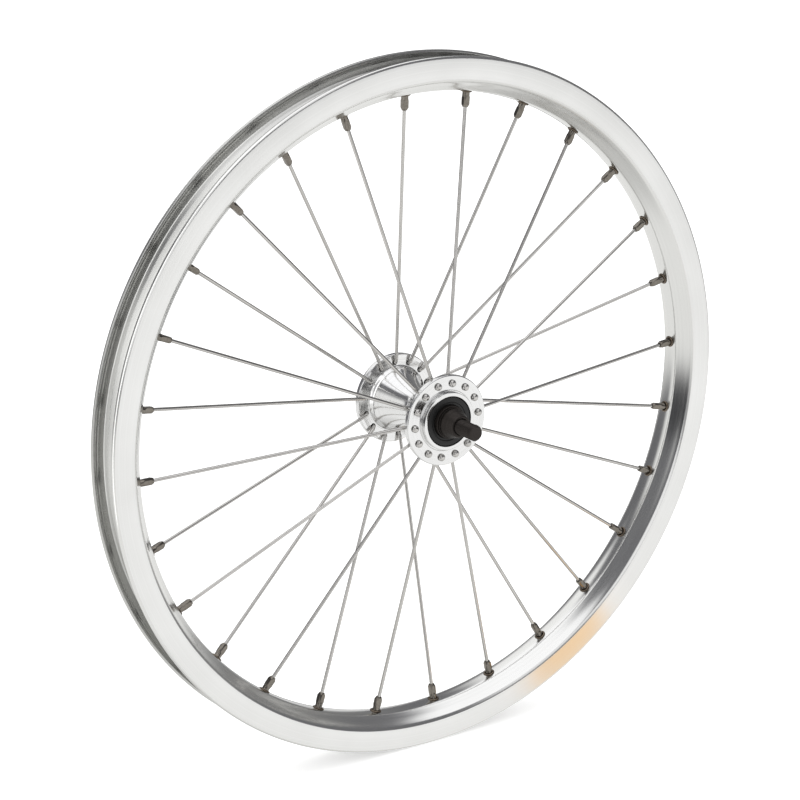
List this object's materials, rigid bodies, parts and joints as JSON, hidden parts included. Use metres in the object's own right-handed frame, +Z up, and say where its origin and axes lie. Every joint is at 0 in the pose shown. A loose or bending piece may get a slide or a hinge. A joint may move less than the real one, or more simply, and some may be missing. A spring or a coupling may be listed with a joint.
{
  "type": "spoked front wheel",
  "caption": "Small tyreless bicycle front wheel: silver double-wall rim, radial spokes, polished two-flange hub, black cup-and-cone bearings on a solid axle.",
  "frame": {"origin": "the wheel's centre, on the axle line in the middle plane of the rim", "axes": "+Y along the axle towards the left locknut, +Z up, +X forward; the wheel turns about Y"},
  "size_m": [0.362, 0.1, 0.362],
  "materials": {
    "rim_alloy": "satin, machined side walls",
    "polished_alloy": "polished",
    "stainless_steel": "drawn",
    "bearing_steel": "ground",
    "black_steel": "black oxide",
    "black_cap": "moulded"
  },
  "bodies": {
    "axle_assembly": {"axle": "black_steel", "cone_right": "black_steel", "cone_left": "black_steel", "lock_washer_right": "black_steel", "lock_washer_left": "black_steel", "locknut_right": "black_steel", "locknut_left": "black_steel"},
    "wheel": {"rim": "rim_alloy", "hub_shell": "polished_alloy", "spoke_right_01": "stainless_steel", "spoke_right_02": "stainless_steel", "spoke_right_03": "stainless_steel", "spoke_right_04": "stainless_steel", "spoke_right_05": "stainless_steel", "spoke_right_06": "stainless_steel", "spoke_right_07": "stainless_steel", "spoke_right_08": "stainless_steel", "spoke_right_09": "stainless_steel", "spoke_right_10": "stainless_steel", "spoke_right_11": "stainless_steel", "spoke_right_12": "stainless_steel", "spoke_right_13": "stainless_steel", "spoke_right_14": "stainless_steel", "spoke_left_01": "stainless_steel", "spoke_left_02": "stainless_steel", "spoke_left_03": "stainless_steel", "spoke_left_04": "stainless_steel", "spoke_left_05": "stainless_steel", "spoke_left_06": "stainless_steel", "spoke_left_07": "stainless_steel", "spoke_left_08": "stainless_steel", "spoke_left_09": "stainless_steel", "spoke_left_10": "stainless_steel", "spoke_left_11": "stainless_steel", "spoke_left_12": "stainless_steel", "spoke_left_13": "stainless_steel", "spoke_left_14": "stainless_steel", "bearing_cup_right": "bearing_steel", "bearing_cup_left": "bearing_steel", "dust_cap_right": "black_cap", "dust_cap_left": "black_cap"},
    "ball_ring_right": {"ball_ring_right": "bearing_steel"},
    "ball_ring_left": {"ball_ring_left": "bearing_steel"}
  },
  "joints": [
    {"name": "wheel_spin", "type": "hinge", "parent": "axle_assembly", "child": "wheel", "pos_m": [0, 0, 0], "axis": [0, 1, 0], "continuous": true},
    {"name": "ball_ring_right_roll", "type": "hinge", "parent": "axle_assembly", "child": "ball_ring_right", "pos_m": [0, -0.0208, 0], "axis": [0, 1, 0], "continuous": true},
    {"name": "ball_ring_left_roll", "type": "hinge", "parent": "axle_assembly", "child": "ball_ring_left", "pos_m": [0, 0.0208, 0], "axis": [0, 1, 0], "continuous": true}
  ],
  "couplings": [
    {"joint": "ball_ring_right_roll", "follows": "wheel_spin", "ratio": 0.594},
    {"joint": "ball_ring_left_roll", "follows": "wheel_spin", "ratio": 0.594}
  ]
}
